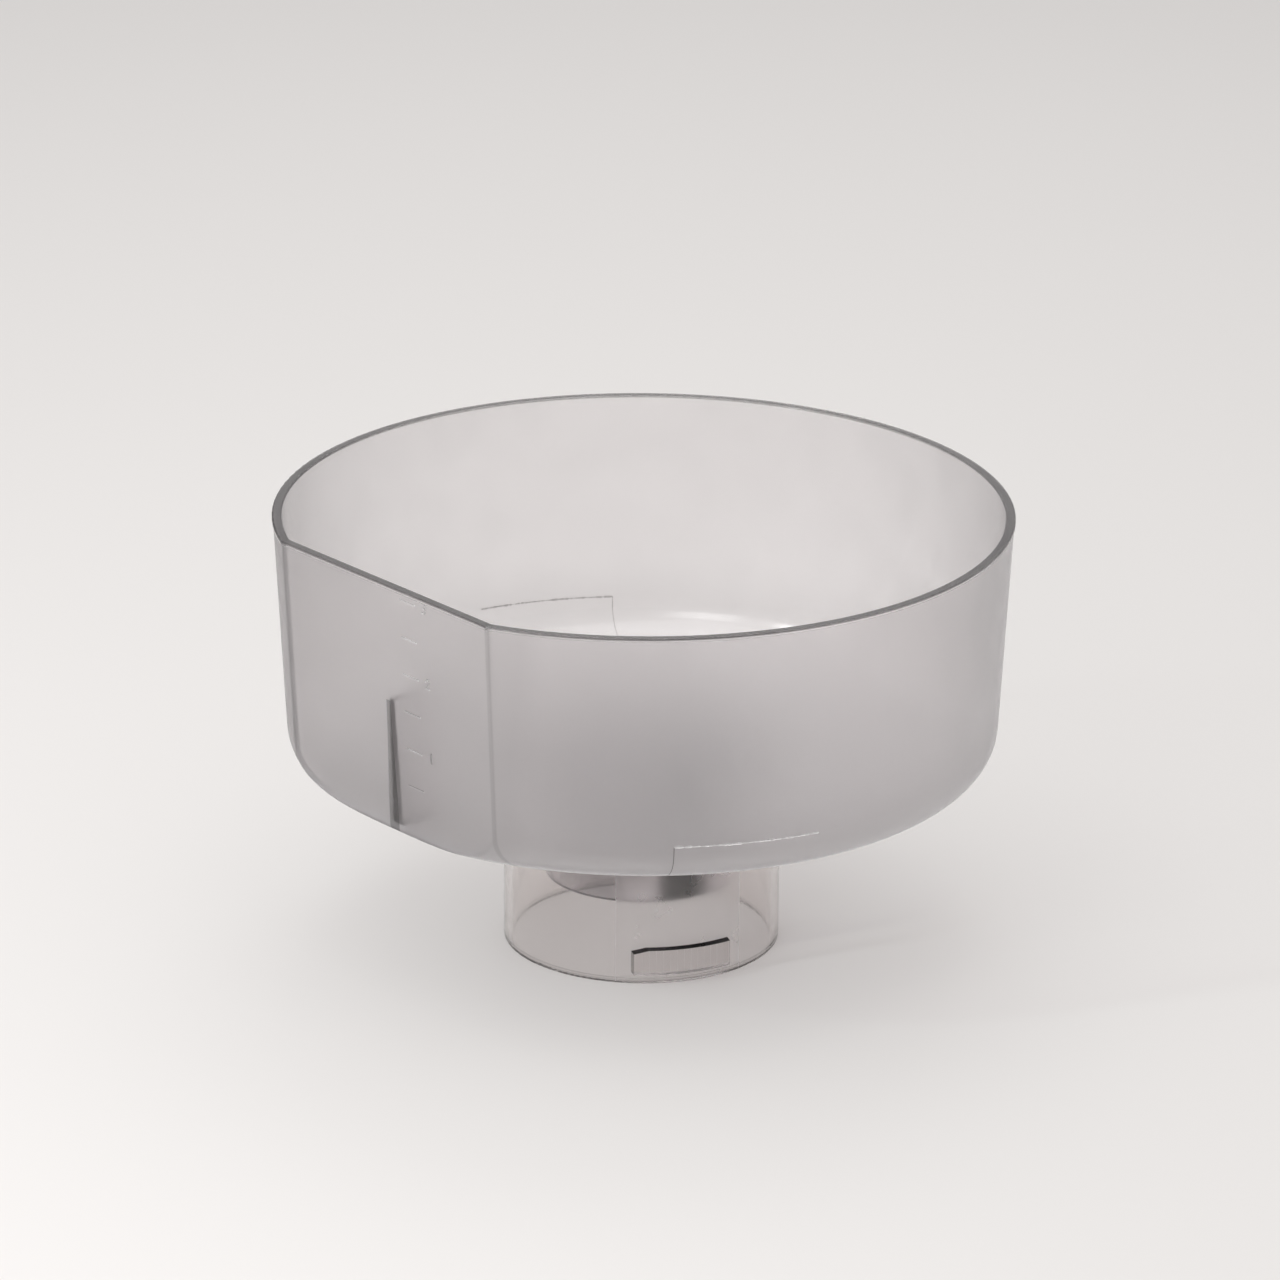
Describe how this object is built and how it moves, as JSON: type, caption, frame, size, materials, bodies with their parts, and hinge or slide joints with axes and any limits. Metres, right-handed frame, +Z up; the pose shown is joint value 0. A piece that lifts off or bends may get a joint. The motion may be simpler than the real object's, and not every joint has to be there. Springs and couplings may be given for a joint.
{
  "type": "mixing bowl",
  "caption": "Smoke-tinted plastic mixing bowl with one flat side, an inner kneading fin, a litre scale and a bayonet foot.",
  "frame": {"origin": "on the axis of the round wall, on the surface that the foot ring stands on", "axes": "+Z up, out of the mouth; the flat side faces the diagonal between -X and -Y, and the front bayonet lug stands a little to +X of -Y"},
  "size_m": [0.236, 0.236, 0.144],
  "materials": {
    "bowl_plastic": "smoke-tinted translucent plastic, finely matt outside and polished inside",
    "foot_plastic": "smoke-tinted clear plastic, polished",
    "scale_marks": "raised lines of the same smoke-tinted plastic"
  },
  "bodies": {
    "root": {"bowl_shell": "bowl_plastic", "kneading_fin": "bowl_plastic", "volume_dashes": "scale_marks", "volume_numerals": "scale_marks", "foot_ring": "foot_plastic", "bayonet_lug_front": "foot_plastic", "bayonet_lug_rear": "foot_plastic", "centring_collar": "foot_plastic"}
  },
  "joints": []
}
